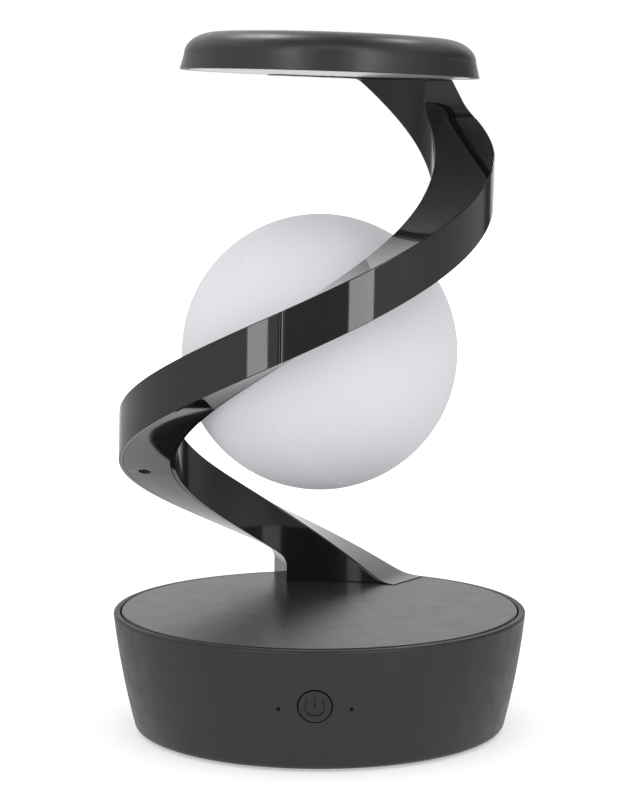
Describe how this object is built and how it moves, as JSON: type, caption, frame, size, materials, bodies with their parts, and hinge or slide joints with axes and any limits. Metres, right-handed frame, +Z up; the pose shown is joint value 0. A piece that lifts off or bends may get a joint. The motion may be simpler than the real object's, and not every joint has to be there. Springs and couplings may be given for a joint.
{
  "type": "desk lamp",
  "caption": "Desk lamp with a white orb inside a black band arm that climbs around it from a turntable drum base to a round charging head; push button at the front.",
  "frame": {"origin": "on the floor under the middle of the drum base", "axes": "+Z up along the turntable's axis, front with the button at -Y, +X to the right seen from the front"},
  "size_m": [0.1398, 0.1398, 0.235],
  "materials": {
    "drum_grey": "satin moulded plastic",
    "plate_grey": "satin moulded plastic",
    "head_grey": "satin moulded plastic",
    "button_grey": "satin moulded plastic",
    "arm_black": "polished black plastic",
    "cover_black": "fine textured black plastic",
    "orb_white": "frosted white diffusing plastic",
    "diffuser_white": "frosted white diffusing plastic",
    "foot_rubber": "matt rubber",
    "screw_steel": "zinc plated",
    "ballast_iron": "plain casting",
    "deck_metal": "plain",
    "motor_steel": "plated can",
    "acetal_white": "plain moulded acetal",
    "frame_black": "plain moulded plastic",
    "board_green": "solder mask",
    "board_white": "white solder mask",
    "led_amber": "phosphor coated",
    "pipe_smoke": "smoked clear plastic",
    "socket_steel": "plated shell",
    "ferrite_dark": "sintered ferrite sheet",
    "coil_copper": "enamelled copper wire",
    "lead_red": "flexible insulation",
    "lead_blue": "flexible insulation",
    "lead_yellow": "flexible insulation"
  },
  "bodies": {
    "base": {"base_housing": "drum_grey", "base_bottom_cover": "frame_black", "rubber_feet": "foot_rubber", "base_cover_screws": "screw_steel", "ballast_weight": "ballast_iron", "chassis_deck": "deck_metal", "bearing_post": "acetal_white", "bearing_post_screws": "screw_steel", "thrust_washer": "acetal_white", "hub_retainer": "screw_steel", "gear_motor": "motor_steel", "motor_screws": "screw_steel", "slip_ring_stator": "frame_black", "main_board": "board_green", "main_board_screws": "screw_steel", "usb_socket": "socket_steel", "button_board": "board_green", "button_board_screws": "screw_steel", "switch_body": "frame_black", "indicator_leds": "led_amber", "indicator_light_pipes": "pipe_smoke", "slip_ring_lead": "lead_red", "motor_lead": "lead_yellow", "switch_lead": "lead_blue"},
    "power_button": {"power_button": "button_grey", "switch_plunger": "acetal_white"},
    "drive_pinion": {"drive_pinion": "acetal_white", "motor_shaft": "screw_steel"},
    "turntable": {"turntable_plate": "plate_grey", "turntable_gear": "acetal_white", "slip_ring_rotor": "frame_black", "turntable_lead": "lead_red", "foot_screws": "screw_steel", "lower_arm_shell": "arm_black", "lower_arm_cover": "cover_black", "upper_arm_shell": "arm_black", "upper_arm_cover": "cover_black", "arm_cover_screws": "screw_steel", "arm_joint_sleeve": "frame_black", "arm_lead": "lead_red", "orb_front_half": "orb_white", "orb_rear_half": "orb_white", "orb_mount_stud": "screw_steel", "orb_stud_nut": "screw_steel", "orb_led_board": "board_white", "orb_leds": "led_amber", "orb_lead": "lead_blue", "head_cap": "head_grey", "head_diffuser": "diffuser_white", "head_frame": "frame_black", "head_frame_screws": "screw_steel", "head_screws": "screw_steel", "head_led_board": "board_white", "head_leds": "led_amber", "ferrite_shield": "ferrite_dark", "charging_coil": "coil_copper", "charger_board": "board_green"}
  },
  "joints": [
    {"name": "turntable_spin", "type": "hinge", "parent": "base", "child": "turntable", "pos_m": [0, 0, 0], "axis": [0, 0, 1], "continuous": true},
    {"name": "drive_pinion_spin", "type": "hinge", "parent": "base", "child": "drive_pinion", "pos_m": [0.035, 0, 0.028], "axis": [0, 0, 1], "continuous": true},
    {"name": "power_button_press", "type": "slide", "parent": "base", "child": "power_button", "axis": [0, 0.9848, 0.1739], "range_m": [0, 0.0007], "stiffness_N_per_m": 2000}
  ],
  "couplings": [
    {"joint": "drive_pinion_spin", "follows": "turntable_spin", "ratio": -3}
  ]
}
